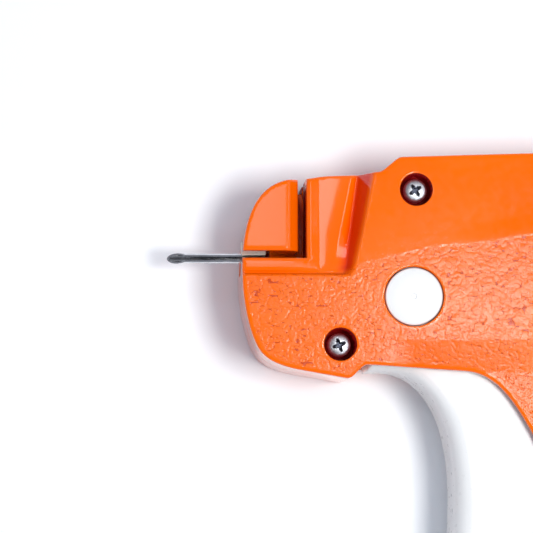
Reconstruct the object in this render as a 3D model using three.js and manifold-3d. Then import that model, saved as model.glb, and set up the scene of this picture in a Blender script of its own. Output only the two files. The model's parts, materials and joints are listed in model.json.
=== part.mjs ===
// Tag attaching gun: a hand tool that pushes plastic tag fasteners through cloth.
// Millimetres. The gun lies on its right side, as it is put down on a counter:
// +X runs from the nose to the rear, +Y to the top of the gun, +Z up, out of its left side.
// The origin is on the trigger's pivot axis, in the flat face that the gun lies on.

import * as THREE from 'three';
import { mergeVertices } from 'three/addons/utils/BufferGeometryUtils.js';
import Module from 'manifold-3d';

const wasm = await Module();
wasm.setup();

// ---- Driving dimensions ------------------------------------------------------------

const WIDTH = 26;               // across both shells
const WALL = 2;                 // wall of the shells
const EDGE = 1.2;               // rounding of the shells' outer edges
const PARTING = WIDTH / 2;      // plane where the shells meet
const SEAM = 0.1;               // half of the seam between the shells
const GAP = 0.3;                // between pieces that touch
const HEAD_REAR = -9.5;         // the head is solid ahead of this, the body hollow behind it
const NOSE_TIP = -34.4;         // foremost point of the housing

const ROD_Y = 8.5;              // level of the needle, the ejector rod and the slider
const SLIT = { front: -23.1, rear: -21.5 };      // upright slit that the filaments stick out of
const RUNWAY = { low: 7.8, high: 9.2 };          // slit along the needle, for the filament
const NOSE_TOP = 24.8;          // face of the nose, lower than the face of the left shell
const CHANNEL = { front: -28, rear: -16.6, low: 9.2, high: 14.2, floor: 7.3 };  // for the clip
const SPINE = { front: -23.9, rear: -20.7, high: 12.4 };    // way out of the clip's spent spine

const TRIGGER_TRAVEL = 18;      // degrees
const STROKE = 32;              // travel of the slider and the ejector rod
const LEVER = { x: 51, y: -35, arm: 45, nose: 3, hub: 5.5, thick: 5 };
const LEVER_LEAN = Math.asin(STROKE / 2 / LEVER.arm);       // each side of upright
const LEVER_RATIO = 2 * LEVER_LEAN / THREE.MathUtils.degToRad(TRIGGER_TRAVEL);
const PUSHER = { x: 36, y: -60, r: 3 };          // trigger's nose that pushes the lever's tail
const TRIGGER = { low: 3.5, high: 22.5, flange: 2.5, hub: 8 };
const PIVOT = { shaft: 3, head: 5.75, seat: 22.8, top: 25.85 };

const SLIDER = { low: 7, high: 19, bottom: 2.5, top: 15.5, front: 10.2, rear: 4.5 };
const ROD = { r: 0.45, tip: -16.2 };
const NEEDLE = { r: 1.05, bore: 0.72, rear: -28.4, tip: -49.4, slit: 0.7 };
const SPRING = { r: 3.1, wire: 0.45, turns: 15 };

const WHEEL = { x: -12.5, y: 15.5, r: 5.5, root: 4.5, teeth: 12, low: 9.4, high: 12.2, pin: 1.2 };
const FEED = { x: 4.5, y: 15.6, pin: 1 };        // pivot of the feed lever
const LOCK = { x: -28.4, y: 0.6, shaft: 3, cam: 2.6, throw: 1.6, floor: 8 };

const SCREW = { head: 2.25, height: 1.7, shaft: 1.2, tip: 4.2, well: 3.3 };
const SCREWS = [
  { name: 'screw_top_front', x: 0.5, y: 21.5, seat: 22.2 },
  { name: 'screw_head', x: -14.8, y: -9.6, seat: 20.6 },
  { name: 'screw_top_rear', x: 70, y: 20.5, seat: 22.2 },
  { name: 'screw_grip_back', x: 66, y: -20, seat: 22.2 },
  { name: 'screw_grip_base', x: 46, y: -75.5, seat: 22.2 },
];

// ---- Materials ---------------------------------------------------------------------

const finish = (color, roughness, metalness) =>
  new THREE.MeshStandardMaterial({ color, roughness, metalness });
const ORANGE = finish(0xff6a00, 0.4, 0);
const WHITE = finish(0xf4f2f0, 0.35, 0);
const NATURAL = finish(0xe6e2d6, 0.45, 0);
const STEEL = finish(0xc4c8cc, 0.25, 1);
const ZINC = finish(0xd6dade, 0.22, 1);
const GREY = finish(0x70757b, 0.5, 0);
const RUBBER = finish(0x2a2a2c, 0.85, 0);

// ---- Solids ------------------------------------------------------------------------

function solidOf(geometry) {
  const bare = geometry.clone();
  bare.deleteAttribute('normal');
  bare.deleteAttribute('uv');
  const merged = mergeVertices(bare, 1e-4);
  const corners = merged.index.array;
  const triangles = [];
  for (let i = 0; i < corners.length; i += 3) {
    const [a, b, c] = [corners[i], corners[i + 1], corners[i + 2]];
    if (a !== b && b !== c && c !== a) triangles.push(a, b, c);
  }
  return new wasm.Manifold(new wasm.Mesh({
    numProp: 3,
    vertProperties: new Float32Array(merged.attributes.position.array),
    triVerts: new Uint32Array(triangles),
  }));
}

function meshOf(name, solid, material) {
  const { vertProperties, triVerts } = solid.getMesh();
  const geometry = new THREE.BufferGeometry();
  geometry.setAttribute('position', new THREE.BufferAttribute(vertProperties, 3));
  geometry.setIndex(new THREE.BufferAttribute(triVerts, 1));
  geometry.computeVertexNormals();
  const mesh = new THREE.Mesh(geometry, material);
  mesh.name = name;
  return mesh;
}

function block(x0, x1, y0, y1, z0, z1) {
  const geometry = new THREE.BoxGeometry(x1 - x0, y1 - y0, z1 - z0);
  geometry.translate((x0 + x1) / 2, (y0 + y1) / 2, (z0 + z1) / 2);
  return solidOf(geometry);
}

// A cylinder that stands along Z.
function disc(x, y, r, z0, z1, sides = 24) {
  const geometry = new THREE.CylinderGeometry(r, r, z1 - z0, sides);
  geometry.rotateX(Math.PI / 2);
  geometry.translate(x, y, (z0 + z1) / 2);
  return solidOf(geometry);
}

// A cylinder that lies along X at the level of the needle.
function bar(r, x0, x1, sides = 16) {
  const geometry = new THREE.CylinderGeometry(r, r, x1 - x0, sides);
  geometry.rotateZ(Math.PI / 2);
  geometry.translate((x0 + x1) / 2, ROD_Y, PARTING);
  return solidOf(geometry);
}

function plate(shape, z0, z1, { edge = 0, curveSegments = 10 } = {}) {
  const geometry = new THREE.ExtrudeGeometry(shape, {
    depth: z1 - z0 - 2 * edge,
    bevelEnabled: edge > 0,
    bevelThickness: edge,
    bevelSize: edge,
    bevelOffset: -edge,
    bevelSegments: 2,
    curveSegments,
  });
  geometry.translate(0, 0, z0 + edge);
  return solidOf(geometry);
}

const polygon = (points) => new THREE.Shape(points.map(([x, y]) => new THREE.Vector2(x, y)));

const union = (solids) => solids.reduce((sum, solid) => sum.add(solid));

const cutAll = (solid, cutters) => cutters.reduce((rest, cutter) => rest.subtract(cutter), solid);

// A closed skin through sections that have the same number of points, each at its own Y.
function loft(sections) {
  const count = sections[0].points.length;
  const positions = sections.flatMap(({ y, points }) => points.flatMap(([x, z]) => [x, y, z]));
  const flat = sections[0].points.map(([x, z]) => new THREE.Vector2(x, z));
  const cap = THREE.ShapeUtils.triangulateShape(flat, []);
  const last = (sections.length - 1) * count;
  const faces = [];
  for (const [a, b, c] of cap) {
    faces.push(a, b, c);
    faces.push(last + a, last + c, last + b);
  }
  for (let s = 0; s + 1 < sections.length; s += 1) {
    for (let i = 0; i < count; i += 1) {
      const next = (i + 1) % count;
      const [a, b] = [s * count + i, s * count + next];
      faces.push(a, a + count, b);
      faces.push(b, a + count, b + count);
    }
  }
  const geometry = new THREE.BufferGeometry();
  geometry.setAttribute('position', new THREE.Float32BufferAttribute(positions, 3));
  geometry.setIndex(faces);
  return solidOf(geometry);
}

const rotated = ([x, y], angle) => [
  x * Math.cos(angle) - y * Math.sin(angle),
  x * Math.sin(angle) + y * Math.cos(angle),
];

// ---- Housing outline ---------------------------------------------------------------

function housingOutline() {
  const shape = new THREE.Shape();
  shape.moveTo(NOSE_TIP, 5);
  shape.bezierCurveTo(NOSE_TIP, 0, -33.4, -6.3, -31.3, -10.2);      // chin
  shape.bezierCurveTo(-29.9, -12.8, -26.8, -14.1, -22, -14.9);
  shape.lineTo(-12.9, -16.5);
  shape.lineTo(-9.9, -13.6);
  shape.lineTo(10.3, -14.9);                                        // over the trigger
  shape.bezierCurveTo(16.5, -15.3, 20, -20.8, 23.5, -27.1);
  shape.bezierCurveTo(28.5, -36.2, 32, -50, 33.5, -73);             // front of the grip
  shape.bezierCurveTo(33.8, -77.5, 35, -80.3, 39, -80.7);
  shape.lineTo(62, -83);                                            // base of the grip
  shape.bezierCurveTo(67.5, -83.5, 70.4, -81, 70.4, -76);
  shape.bezierCurveTo(70.6, -58, 68.5, -42, 70, -26);               // back of the grip
  shape.bezierCurveTo(71.2, -14, 80, -6, 84, 2);
  shape.bezierCurveTo(87.5, 9, 85, 19.5, 76, 24.5);                 // rear end
  shape.bezierCurveTo(66, 29.6, 45, 29.7, 19.9, 28.9);              // top
  shape.lineTo(-2.9, 28.1);
  shape.lineTo(-6.5, 25.1);                                         // step down to the head
  shape.lineTo(-17.3, 24.4);
  shape.lineTo(SLIT.rear, 23.7);
  shape.lineTo(SLIT.front, 23.7);
  shape.bezierCurveTo(-31.2, 23.6, NOSE_TIP, 16.5, NOSE_TIP, 5);    // brow
  return shape;
}

// The outline moved inwards by a distance, corner by corner.
function insetOutline(shape, distance) {
  const points = shape.getPoints(8).slice(0, -1);
  const count = points.length;
  const moved = points.map((point, i) => {
    const before = point.clone().sub(points[(i + count - 1) % count]).normalize();
    const after = points[(i + 1) % count].clone().sub(point).normalize();
    const inward = new THREE.Vector2(-before.y - after.y, before.x + after.x).normalize();
    const spread = Math.max(0.5, inward.dot(new THREE.Vector2(-after.y, after.x)));
    return point.clone().addScaledVector(inward, distance / spread);
  });
  return new THREE.Shape(moved);
}

const OUTLINE = housingOutline();
const BODY = plate(OUTLINE, 0, WIDTH, { edge: EDGE, curveSegments: 8 });

function hollow() {
  const inside = plate(insetOutline(OUTLINE, WALL), WALL, WIDTH - WALL);
  return inside.intersect(block(HEAD_REAR, 100, -100, 50, 0, WIDTH));
}

// The trigger comes out here: the rim wall is missing under the body and down the grip.
function triggerDoorway() {
  const doorway = polygon([
    [HEAD_REAR, -8], [HEAD_REAR, -24], [5, -24], [20, -40], [25, -70.5],
    [38, -70.5], [36, -50], [28, -30], [20, -16], [10, -8],
  ]);
  return plate(doorway, WALL, WIDTH - WALL);
}

// ---- Shells ------------------------------------------------------------------------

const postedScrews = SCREWS.filter(({ x }) => x > HEAD_REAR);

function clipChannel() {
  const { front, rear, low, high, floor } = CHANNEL;
  return block(front, rear, floor, 40, low, high);
}

const needleSeat = () => block(-40, CHANNEL.front, 4.9, 12.1, 9.5, 16.5);

function rails(z0, z1) {
  return [block(16, 76, 15.9, 17.4, z0, z1), block(16, 76, 0.6, 2.1, z0, z1)];
}

function rightShell() {
  const top = PARTING - SEAM;
  const half = BODY.intersect(block(-60, 100, -100, 50, -1, top));
  const noseBlock = plate(OUTLINE, 0, NOSE_TOP, { edge: EDGE, curveSegments: 8 })
    .intersect(block(-60, SLIT.front, RUNWAY.high, 50, 5, NOSE_TOP + 1))
    .subtract(loft([0, 40].map((y) => ({
      y,
      points: [[-24.9, NOSE_TOP], [-22, NOSE_TOP - 2.6], [-22, NOSE_TOP + 2], [-24.9, NOSE_TOP + 2]],
    }))));
  const shell = half.subtract(hollow()).subtract(triggerDoorway());
  const inner = [
    noseBlock,
    ...rails(1.5, 8),
    block(80.3, 81.8, 2, 16, 1.5, top),                             // wall behind the bumper
    disc(0, 0, 5.5, 1.5, 3.2),
    disc(LEVER.x, LEVER.y, 4, 1.5, 9.2),
    disc(FEED.x, FEED.y, 2.4, 1.5, 9.1, 16),
    block(-6.2, -5.35, 22.4, 25.2, 1.5, top),                       // ribs that hold the pawl
    block(-4.35, -3.5, 22.4, 25.8, 1.5, top),
    ...postedScrews.map(({ x, y }) => disc(x, y, 2.9, 1.5, top)),
  ];
  const cuts = [
    clipChannel(),
    block(SPINE.front, SPINE.rear, -20, 9, CHANNEL.low, SPINE.high),
    needleSeat(),
    bar(0.8, -17, -9),
    disc(0, 0, PIVOT.shaft + GAP, WALL, 4),
    disc(LEVER.x, LEVER.y, 2.3, 3, 10),
    disc(FEED.x, FEED.y, FEED.pin + GAP, 4, 10, 12),
    disc(WHEEL.x, WHEEL.y, WHEEL.r + 0.5, 9, PARTING, 32),
    disc(WHEEL.x, WHEEL.y, WHEEL.pin + GAP, 3.7, 10, 12),
    disc(LOCK.x, LOCK.y, 4.6, LOCK.floor, PARTING),
    disc(LOCK.x, LOCK.y, LOCK.shaft + GAP, -1, 9),
    ...SCREWS.map(({ x, y }) => disc(x, y, SCREW.shaft + GAP, 3.5, 20, 12)),
  ];
  return cutAll(union([shell, ...inner]), cuts);
}

// Recess of the head's left face: level by the nose, then a scoop with a steep rear wall,
// which gives the hanging tags room and fades out above the grained panel.
function scoop() {
  const levels = [
    { y: 4.3, strip: 25, floor: 25.6, slope: -16.5, wall: -13.6, rim: -12.6 },
    { y: 10.5, strip: 24.6, floor: 23.1, slope: -15.2, wall: -12.9, rim: -10.5 },
    { y: 40, strip: 24.6, floor: 22.1, slope: -8.8, wall: -9.9, rim: -5.8 },
  ];
  return loft(levels.map(({ y, strip, floor, slope, wall, rim }) => ({
    y,
    points: [
      [-40, NOSE_TOP], [-19.1, strip], [Math.min(slope, wall - 0.4), floor], [wall, floor],
      [rim, WIDTH], [rim, WIDTH + 2], [-40, WIDTH + 2],
    ],
  })));
}

function leftShell() {
  const bottom = PARTING + SEAM;
  const half = BODY.intersect(block(-60, 100, -100, 50, bottom, WIDTH + 1));
  const shell = half.subtract(hollow()).subtract(triggerDoorway());
  const roof = WIDTH - WALL + 0.5;
  const inner = [
    ...rails(18, roof),
    block(80.3, 81.8, 2, 16, bottom, roof),
    disc(LEVER.x, LEVER.y, 4, 16.8, roof),
    disc(FEED.x, FEED.y, 2.4, bottom, roof, 16),
    ...postedScrews.flatMap(({ x, y, seat }) => [
      disc(x, y, 2.9, bottom, roof),
      disc(x, y, SCREW.well + 1, seat - 2, roof),
    ]),
  ];
  const cuts = [
    block(-60, SLIT.rear, RUNWAY.low, 50, 0, WIDTH + 1),            // room for the nose block
    clipChannel(),
    needleSeat(),
    scoop(),
    bar(0.8, -17, -9),
    disc(0, 0, PIVOT.head + 0.25, 20, WIDTH + 1, 48),
    disc(LEVER.x, LEVER.y, 2.3, 16, 23),
    disc(FEED.x, FEED.y, FEED.pin + GAP, 12, 18, 12),
    disc(WHEEL.x, WHEEL.y, WHEEL.pin + GAP, 12, 18.3, 12),
    ...SCREWS.map(({ x, y }) => disc(x, y, SCREW.shaft + GAP, 12, 24, 12)),
    ...SCREWS.map(({ x, y, seat }) => disc(x, y, SCREW.well, seat, WIDTH + 1)),
  ];
  return cutAll(union([shell, ...inner]), cuts);
}

// ---- Trigger and its pivot ---------------------------------------------------------

function triggerOutline() {
  const shape = new THREE.Shape();
  shape.moveTo(TRIGGER.hub, 0);
  shape.absarc(0, 0, TRIGGER.hub, 0, Math.PI, false);
  shape.lineTo(-9.1, -10);
  shape.lineTo(-9.1, -14.9);
  shape.bezierCurveTo(5, -12.7, 9, -27, 8.6, -42);                  // where the fingers pull
  shape.bezierCurveTo(8.4, -54, 7, -64, 4.7, -72);
  shape.bezierCurveTo(3.9, -74.8, 5.2, -76.4, 7.5, -76.2);
  shape.bezierCurveTo(11, -75.9, 14.5, -75, 18, -73);
  shape.lineTo(35.5, -62.8);
  shape.absarc(PUSHER.x, PUSHER.y, 2.8, -Math.PI / 2, 0, false);
  shape.lineTo(37, -52);
  shape.lineTo(36, -42);
  shape.lineTo(30, -28);
  return shape;
}

// Room between the flanges, open at the back and the top.
function triggerChannel() {
  const shape = new THREE.Shape();
  shape.moveTo(-14, -11);
  shape.bezierCurveTo(3.2, -11.5, 10.9, -24, 11, -42);
  shape.bezierCurveTo(11, -54, 9.4, -64, 8.1, -70.5);
  shape.lineTo(14.5, -71.2);
  shape.lineTo(17.5, -69.6);
  shape.lineTo(34, -60);
  shape.lineTo(60, -60);
  shape.lineTo(60, 20);
  shape.lineTo(-14, 20);
  return plate(shape, TRIGGER.low + TRIGGER.flange, TRIGGER.high - TRIGGER.flange);
}

// The lever pin's bosses pass through this arc as the trigger swings.
function bossArc() {
  const radius = Math.hypot(LEVER.x, LEVER.y);
  const start = Math.atan2(LEVER.y, LEVER.x);
  const end = start - THREE.MathUtils.degToRad(TRIGGER_TRAVEL);
  const half = 4.5;
  const shape = new THREE.Shape();
  shape.absarc(0, 0, radius + half, start + 0.2, end, true);
  shape.absarc(radius * Math.cos(end), radius * Math.sin(end), half, end, end - Math.PI, true);
  shape.absarc(0, 0, radius - half, end, start + 0.2, false);
  return plate(shape, 0, WIDTH);
}

function trigger() {
  const lever = plate(triggerOutline(), TRIGGER.low, TRIGGER.high, { edge: 1.2 });
  const low = PARTING - LEVER.thick / 2;
  const high = PARTING + LEVER.thick / 2;
  const rib = polygon([[8, -55], [PUSHER.x - 3, PUSHER.y], [PUSHER.x, -62.8], [18, -71], [8, -71]]);
  const pusher = disc(PUSHER.x, PUSHER.y, PUSHER.r, low, high);
  return cutAll(lever, [triggerChannel(), bossArc(), disc(0, 0, PIVOT.shaft + GAP, 0, WIDTH)])
    .add(plate(rib, low, high))
    .add(pusher);
}

function triggerPin() {
  return disc(0, 0, PIVOT.shaft, WALL + GAP, PIVOT.seat + 0.1)
    .add(disc(0, 0, PIVOT.head, PIVOT.seat, PIVOT.top, 48));
}

// ---- Drive lever, slider and ejector rod -------------------------------------------

// Front edge of the lever's tail. It follows the trigger's pusher, seen from the lever,
// so both stay together through the whole travel.
function tailShape() {
  const steps = 8;
  const travel = THREE.MathUtils.degToRad(TRIGGER_TRAVEL);
  const path = [];
  for (let i = -1; i <= steps; i += 1) {
    const turn = travel * i / steps;
    const [x, y] = rotated([PUSHER.x, PUSHER.y], turn);
    path.push(rotated([x - LEVER.x, y - LEVER.y], -turn * LEVER_RATIO));
  }
  const offset = (distance) => path.map(([x, y], i) => {
    const [ax, ay] = path[Math.max(0, i - 1)];
    const [bx, by] = path[Math.min(path.length - 1, i + 1)];
    const length = Math.hypot(bx - ax, by - ay);
    return [x + (by - ay) / length * distance, y - (bx - ax) / length * distance];
  });
  const front = offset(PUSHER.r + GAP);
  const back = offset(PUSHER.r + GAP + 6).slice(0, 5).reverse();
  return polygon([...front, [2.8, -5], [5.2, -1.5], ...back]);
}

function armShape() {
  const neck = LEVER.arm - 6;
  const shape = new THREE.Shape();
  shape.moveTo(-4.6, 0);
  shape.lineTo(4.6, 0);
  shape.lineTo(2.2, neck);
  shape.lineTo(2.2, LEVER.arm - 1.5);
  shape.absarc(0, LEVER.arm, LEVER.nose, -Math.PI / 4, Math.PI * 5 / 4, false);
  shape.lineTo(-2.2, neck);
  return shape;
}

function driveLever() {
  const low = PARTING - LEVER.thick / 2;
  const high = PARTING + LEVER.thick / 2;
  const arm = plate(armShape(), low, high).rotate([0, 0, -THREE.MathUtils.radToDeg(LEVER_LEAN)]);
  const tail = plate(tailShape(), low, high);
  const hub = disc(0, 0, LEVER.hub, low - 1, high + 1, 32);
  return union([hub, arm, tail])
    .subtract(disc(0, 0, 2.3, 0, WIDTH))
    .translate([LEVER.x, LEVER.y, 0]);
}

const sliderRest = LEVER.x + STROKE / 2;        // where the lever's nose holds the slider
const slotHalf = LEVER.nose + 0.4;
const sliderFront = sliderRest - slotHalf - SLIDER.front;

function slider() {
  const rear = sliderRest + slotHalf + SLIDER.rear;
  const slot = polygon([
    [-slotHalf, 13.4], [-slotHalf, 5], [-slotHalf - 3, 2], [slotHalf + 3, 2],
    [slotHalf, 5], [slotHalf, 13.4],
  ]);
  const reach = LEVER.thick / 2 + 0.4;
  return cutAll(block(sliderFront, rear, SLIDER.bottom, SLIDER.top, SLIDER.low, SLIDER.high), [
    plate(slot, PARTING - reach, PARTING + reach).translate([sliderRest, 0, 0]),
    bar(ROD.r + 0.35, sliderFront - 1, sliderRest - slotHalf - 0.4, 12),
  ]);
}

const ejectorRod = () => bar(ROD.r, ROD.tip, sliderRest - slotHalf - 0.7, 10);

class Helix extends THREE.Curve {
  constructor(from, to, radius, turns) {
    super();
    Object.assign(this, { from, to, radius, turns });
  }

  getPoint(t, target = new THREE.Vector3()) {
    const angle = 2 * Math.PI * this.turns * t;
    return target.set(
      this.from + (this.to - this.from) * t,
      ROD_Y + this.radius * Math.cos(angle),
      PARTING + this.radius * Math.sin(angle),
    );
  }
}

function returnSpring() {
  const { r, wire, turns } = SPRING;
  const path = new Helix(HEAD_REAR + 1, sliderFront - 1, r, turns);
  const section = new THREE.Shape().absarc(0, 0, wire, 0, 2 * Math.PI, false);
  return solidOf(new THREE.ExtrudeGeometry(section, {
    steps: turns * 9,
    curveSegments: 3,
    extrudePath: path,
    bevelEnabled: false,
  }));
}

// ---- Needle, its base, lock and cutter ---------------------------------------------

function needle() {
  const { r, bore, rear, tip, slit } = NEEDLE;
  const bevel = loft([-5, 25].map((y) => ({
    y,
    points: [[tip - 1, PARTING - r], [tip + 4.2, PARTING + r + 0.1], [tip - 1, PARTING + 3]],
  })));
  return cutAll(bar(r, tip, rear, 16), [
    bar(bore, tip - 1, rear + 1, 12),
    block(tip - 1, rear + 1, ROD_Y - slit / 2, ROD_Y + slit / 2, PARTING, PARTING + 3),
    bevel,
  ]);
}

function needleBase() {
  return cutAll(block(-34.1, -29.3, 5.2, 11.8, 9.8, 16.2), [
    bar(NEEDLE.r + GAP, -40, -20),
    block(-40, -20, ROD_Y - 0.5, ROD_Y + 0.5, PARTING, 20),
  ]);
}

function cutterBlade() {
  const low = 9.8;
  const edge = PARTING - NEEDLE.r - GAP;
  return block(-29, -28.4, 5.4, 11.6, low, edge)
    .subtract(block(-30, -28, ROD_Y - 0.6, ROD_Y + 0.6, edge - 0.5, edge + 1));
}

function needleLock() {
  const { x, y, shaft, cam, floor } = LOCK;
  return disc(x, y, shaft, 0.4, floor + 0.5)
    .add(disc(x, y + LOCK.throw, cam, floor + 0.4, 12.4))
    .add(disc(x, y, shaft, floor + 0.4, 12.4))
    .subtract(block(x - 2.4, x + 2.4, y - 0.5, y + 0.5, 0, 1.4));
}

// ---- Clip feed ---------------------------------------------------------------------

function feedWheel() {
  const { x, y, r, root, teeth, low, high, pin } = WHEEL;
  const points = [];
  for (let i = 0; i < teeth; i += 1) {
    const angle = 2 * Math.PI * i / teeth;
    points.push(rotated([r, 0], angle), rotated([root, 0], angle + 0.08));
  }
  return plate(polygon(points), low, high)
    .subtract(disc(0, 0, pin + GAP, 0, WIDTH, 12))
    .translate([x, y, 0]);
}

function feedLever() {
  const shape = polygon([
    [-6.6, 15.1], [-2.5, 14.3], [2, 13.7], [FEED.x, 13.4], [7, 13.7], [15.5, 14.6],
    [15.6, 16.4], [7, 17.5], [FEED.x, 17.8], [2, 17.5], [-2.5, 16.9], [-6.6, 16.1],
  ]);
  return plate(shape, WHEEL.low, WHEEL.high)
    .subtract(disc(FEED.x, FEED.y, FEED.pin + GAP, 0, WIDTH, 12));
}

function checkPawl() {
  const shape = polygon([
    [-8.35, 20.05], [-8.05, 19.75], [-4.65, 22.3], [-4.65, 23.2], [-5.05, 23.2], [-5.05, 22.55],
  ]);
  return plate(shape, WHEEL.low + 0.2, WHEEL.high - 0.2);
}

// ---- Screws ------------------------------------------------------------------------

function screw({ x, y, seat }) {
  const base = seat + GAP;
  const { head, height, shaft, tip } = SCREW;
  const profile = [
    [0, tip], [shaft * 0.5, tip + 0.6], [shaft, tip + 2], [shaft, base], [head, base],
    [head, base + height * 0.5], [head * 0.8, base + height * 0.85], [0, base + height],
  ].map(([r, z]) => new THREE.Vector2(r, z));
  const geometry = new THREE.LatheGeometry(profile, 16);
  geometry.rotateX(Math.PI / 2);
  geometry.translate(x, y, 0);
  const top = base + height;
  return cutAll(solidOf(geometry), [
    block(x - 1.3, x + 1.3, y - 0.35, y + 0.35, top - 0.9, top + 1),
    block(x - 0.35, x + 0.35, y - 1.3, y + 1.3, top - 0.9, top + 1),
  ]);
}

// ---- Assembly ----------------------------------------------------------------------

const group = new THREE.Group();

function sub(name, ...meshes) {
  const branch = new THREE.Group();
  branch.name = name;
  branch.add(...meshes);
  group.add(branch);
}

sub(
  'housing',
  meshOf('right_shell', rightShell(), ORANGE),
  meshOf('left_shell', leftShell(), ORANGE),
  meshOf('rear_bumper', block(75.2, 80, 4, 14, 8, 18), RUBBER),
  ...SCREWS.map((place) => meshOf(place.name, screw(place), ZINC)),
);
sub(
  'trigger_group',
  meshOf('trigger', trigger(), WHITE),
  meshOf('trigger_pin', triggerPin(), WHITE),
);
sub(
  'drive',
  meshOf('drive_lever', driveLever(), GREY),
  meshOf('lever_pin', disc(LEVER.x, LEVER.y, 2, 3.3, 22.7, 16), STEEL),
  meshOf('slider', slider(), GREY),
  meshOf('ejector_rod', ejectorRod(), STEEL),
  meshOf('return_spring', returnSpring(), STEEL),
);
sub(
  'needle_group',
  meshOf('needle', needle(), STEEL),
  meshOf('needle_base', needleBase(), NATURAL),
  meshOf('needle_lock', needleLock(), NATURAL),
  meshOf('cutter_blade', cutterBlade(), STEEL),
);
sub(
  'clip_feed',
  meshOf('feed_wheel', feedWheel(), NATURAL),
  meshOf('feed_wheel_pin', disc(WHEEL.x, WHEEL.y, WHEEL.pin, 4, 18, 12), STEEL),
  meshOf('feed_lever', feedLever(), GREY),
  meshOf('feed_lever_pin', disc(FEED.x, FEED.y, FEED.pin, 4.3, 17.7, 12), STEEL),
  meshOf('check_pawl', checkPawl(), STEEL),
);

export default group;
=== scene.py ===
import json
import math

import bpy
import numpy as np
from mathutils import Matrix, Vector, noise
from mathutils.geometry import delaunay_2d_cdt
from mathutils.kdtree import KDTree

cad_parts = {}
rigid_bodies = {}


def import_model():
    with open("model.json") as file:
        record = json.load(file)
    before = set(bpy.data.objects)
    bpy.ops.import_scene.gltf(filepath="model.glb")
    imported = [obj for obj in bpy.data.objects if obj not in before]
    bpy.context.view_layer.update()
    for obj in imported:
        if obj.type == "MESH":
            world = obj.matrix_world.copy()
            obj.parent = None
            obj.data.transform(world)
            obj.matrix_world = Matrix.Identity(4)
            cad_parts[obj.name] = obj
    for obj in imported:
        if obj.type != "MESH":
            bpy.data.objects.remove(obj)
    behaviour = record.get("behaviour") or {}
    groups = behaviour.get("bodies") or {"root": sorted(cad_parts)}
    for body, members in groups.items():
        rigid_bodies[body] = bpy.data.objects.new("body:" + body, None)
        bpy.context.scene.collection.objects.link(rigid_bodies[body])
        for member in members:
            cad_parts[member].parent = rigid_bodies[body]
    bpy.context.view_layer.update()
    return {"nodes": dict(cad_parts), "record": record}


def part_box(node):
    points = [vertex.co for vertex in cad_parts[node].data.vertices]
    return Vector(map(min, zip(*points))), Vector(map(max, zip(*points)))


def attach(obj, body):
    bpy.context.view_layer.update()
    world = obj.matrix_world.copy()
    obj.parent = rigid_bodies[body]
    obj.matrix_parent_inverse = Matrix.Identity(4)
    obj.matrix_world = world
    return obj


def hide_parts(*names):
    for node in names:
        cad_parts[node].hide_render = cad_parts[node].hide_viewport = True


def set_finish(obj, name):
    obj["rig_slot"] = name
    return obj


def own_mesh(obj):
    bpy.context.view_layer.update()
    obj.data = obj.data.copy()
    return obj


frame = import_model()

# Tag attaching gun. Shapes are worked out in millimetres and built in metres.
MM = 0.001
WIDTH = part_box("left_shell")[1].z / MM          # 26: outer face of the left shell
PARTING = WIDTH / 2
SEAM = 0.1                                      # half of the gap between the shells
WALL = 2.0
EDGE = 0.45                                     # rounding of the shells' outer edges
HEAD_EDGE = 0.6                                 # the same on the lower face of the head
HEAD_REAR = -9.5                                # the hollow starts here
SLIT = (-23.1, -21.5)                           # front and rear wall of the slit
RUNWAY = (7.8, 9.2)                             # lower and upper wall of the needle's runway
NOSE_TOP = 24.8
LEDGE_Y = 4.25                                  # below this the head has the body's full width
GROOVE_Y = 4.85
DISC_HOLE = 6.0
UPPER_DROP = 0.10                               # of the smooth upper panel, towards the rear
LOWER_BEND = 0.45                               # of the lower panel, at the trigger's opening
GROOVE_DEPTH = 0.7                              # along the foot of the head's ledge
LEFT_GRAIN = 0.035                              # depth of the grain's creases
RIGHT_GRAIN = 0.05
RIGHT_SHIFT = 200                               # gives the right side another stretch of grain
NODES = frame["nodes"]


def centre(node):
    low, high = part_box(node)
    return (low + high) / 2 / MM


WELLS = {name: (centre(name).x, centre(name).y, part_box(name)[1].z / MM)
         for name in ("screw_top_front", "screw_head", "screw_top_rear",
                      "screw_grip_back", "screw_grip_base")}
WELL_R = 3.3
WELL_RIM = 0.15                                 # rounding of the wells' and the disc hole's rims


# ---- Curves ---------------------------------------------------------------------------

def path(start, *steps, spacing=0.5):
    """Closed loop through straight lines (2 numbers) and Bezier curves (6 numbers)."""
    points = [np.array(start, float)]
    for step in steps:
        here = points[-1]
        if len(step) == 2:
            end = np.array(step, float)
            count = max(1, round(np.linalg.norm(end - here) / spacing))
            points += [here + (end - here) * i / count for i in range(1, count + 1)]
        else:
            a, b, c = (np.array(step[i:i + 2], float) for i in (0, 2, 4))
            length = sum(np.linalg.norm(v) for v in (a - here, b - a, c - b))
            count = max(4, round(length / spacing))
            for i in range(1, count + 1):
                t = i / count
                points.append((1 - t) ** 3 * here + 3 * (1 - t) ** 2 * t * a
                              + 3 * (1 - t) * t * t * b + t ** 3 * c)
    return np.array(points[:-1])


def arc(x, y, r, start, end, count):
    return [(x + r * math.cos(a), y + r * math.sin(a))
            for a in np.radians(np.linspace(start, end, count))]


def softened(loop, passes=2):
    """Corners of a closed loop rounded by averaging neighbours."""
    for _ in range(passes):
        loop = 0.25 * np.roll(loop, 1, 0) + 0.5 * loop + 0.25 * np.roll(loop, -1, 0)
    return loop


def inward_normals(loop):
    along = np.roll(loop, -1, 0) - np.roll(loop, 1, 0)
    normal = np.stack([-along[:, 1], along[:, 0]], 1)
    return normal / np.linalg.norm(normal, axis=1)[:, None]


def is_left_turning(loop):
    x, y = loop.T
    return np.sum(x * np.roll(y, -1) - np.roll(x, -1) * y) > 0


def counter_clockwise(loop):
    return loop if is_left_turning(loop) else loop[::-1].copy()


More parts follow.
